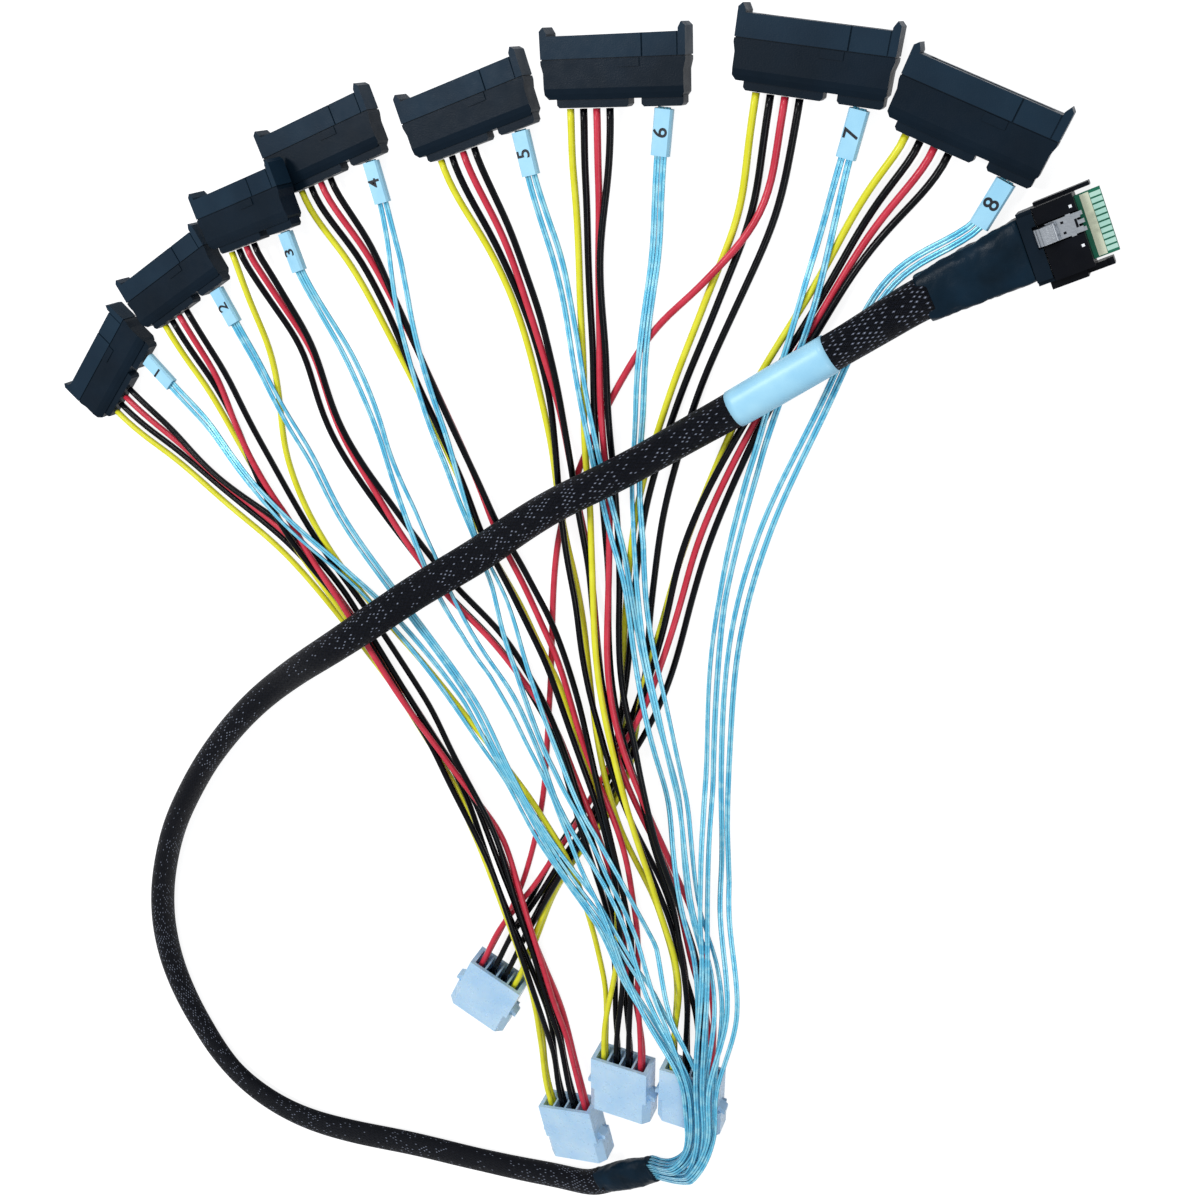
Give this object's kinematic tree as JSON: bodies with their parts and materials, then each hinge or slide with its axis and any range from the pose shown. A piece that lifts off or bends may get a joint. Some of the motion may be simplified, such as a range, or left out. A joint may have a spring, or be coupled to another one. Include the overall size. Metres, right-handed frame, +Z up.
{
  "type": "slim-line host to drive breakout cable",
  "caption": "Breakout cable: a flat latched host plug, a braided trunk, and ribbon tails to drive receptacles that each also take wires from four-way power plugs.",
  "frame": {"origin": "on the surface the cable lies on, under the middle of the box around the plugs and drive ends", "axes": "+Z up from the surface, +Y towards the fan of drive ends, +X towards the side where the host plug lies"},
  "size_m": [0.357, 0.4729, 0.0234],
  "materials": {
    "housing_black": "fine moulded matte",
    "shell_black": "fine moulded matte",
    "label_blue": "smooth printed film",
    "nylon_clear": "cloudy natural nylon",
    "wire_yellow": "smooth wire insulation",
    "wire_black": "smooth wire insulation",
    "wire_red": "smooth wire insulation",
    "ribbon_blue": "smooth clear jacket over foil",
    "host_black": "fine moulded matte",
    "board_green": "solder mask",
    "latch_steel": "rolled sheet",
    "shrink_black": "shrunk sleeving with wrinkles",
    "sleeve_black": "braided filament"
  },
  "bodies": {
    "cable": {"drive_receptacle_1": "housing_black", "drive_backshell_1": "shell_black", "drive_receptacle_2": "housing_black", "drive_backshell_2": "shell_black", "drive_receptacle_3": "housing_black", "drive_backshell_3": "shell_black", "drive_receptacle_4": "housing_black", "drive_backshell_4": "shell_black", "drive_receptacle_5": "housing_black", "drive_backshell_5": "shell_black", "drive_receptacle_6": "housing_black", "drive_backshell_6": "shell_black", "drive_receptacle_7": "housing_black", "drive_backshell_7": "shell_black", "drive_receptacle_8": "housing_black", "drive_backshell_8": "shell_black", "power_plug_a": "nylon_clear", "power_plug_b": "nylon_clear", "power_plug_c": "nylon_clear", "power_plug_d": "nylon_clear", "lead_pair_a1_red": "wire_red", "lead_pair_a2_black": "wire_black", "lead_pair_a3_black": "wire_black", "lead_pair_a4_yellow": "wire_yellow", "lead_pair_b1_yellow": "wire_yellow", "lead_pair_b2_black": "wire_black", "lead_pair_b3_black": "wire_black", "lead_pair_b4_red": "wire_red", "lead_pair_c1_yellow": "wire_yellow", "lead_pair_c2_black": "wire_black", "lead_pair_c3_black": "wire_black", "lead_pair_c4_red": "wire_red", "lead_pair_d1_yellow": "wire_yellow", "lead_pair_d2_black": "wire_black", "lead_pair_d3_black": "wire_black", "lead_pair_d4_red": "wire_red", "signal_ribbon_1": "ribbon_blue", "port_label_1": "label_blue", "signal_ribbon_2": "ribbon_blue", "port_label_2": "label_blue", "signal_ribbon_3": "ribbon_blue", "port_label_3": "label_blue", "signal_ribbon_4": "ribbon_blue", "port_label_4": "label_blue", "signal_ribbon_5": "ribbon_blue", "port_label_5": "label_blue", "signal_ribbon_6": "ribbon_blue", "port_label_6": "label_blue", "signal_ribbon_7": "ribbon_blue", "port_label_7": "label_blue", "signal_ribbon_8": "ribbon_blue", "port_label_8": "label_blue", "host_housing": "host_black", "host_cover": "shell_black", "host_card": "board_green", "host_boot": "shrink_black", "trunk_sleeve": "sleeve_black", "trunk_label": "label_blue", "breakout_collar": "shrink_black"},
    "latch": {"host_latch": "latch_steel"}
  },
  "joints": [
    {"name": "latch_press", "type": "hinge", "parent": "cable", "child": "latch", "pos_m": [0.15716, 0.16111, 0.0074], "axis": [-0.4384, 0.8988, 0], "range_deg": [0, 5], "stiffness_Nm_per_rad": 0.05}
  ]
}
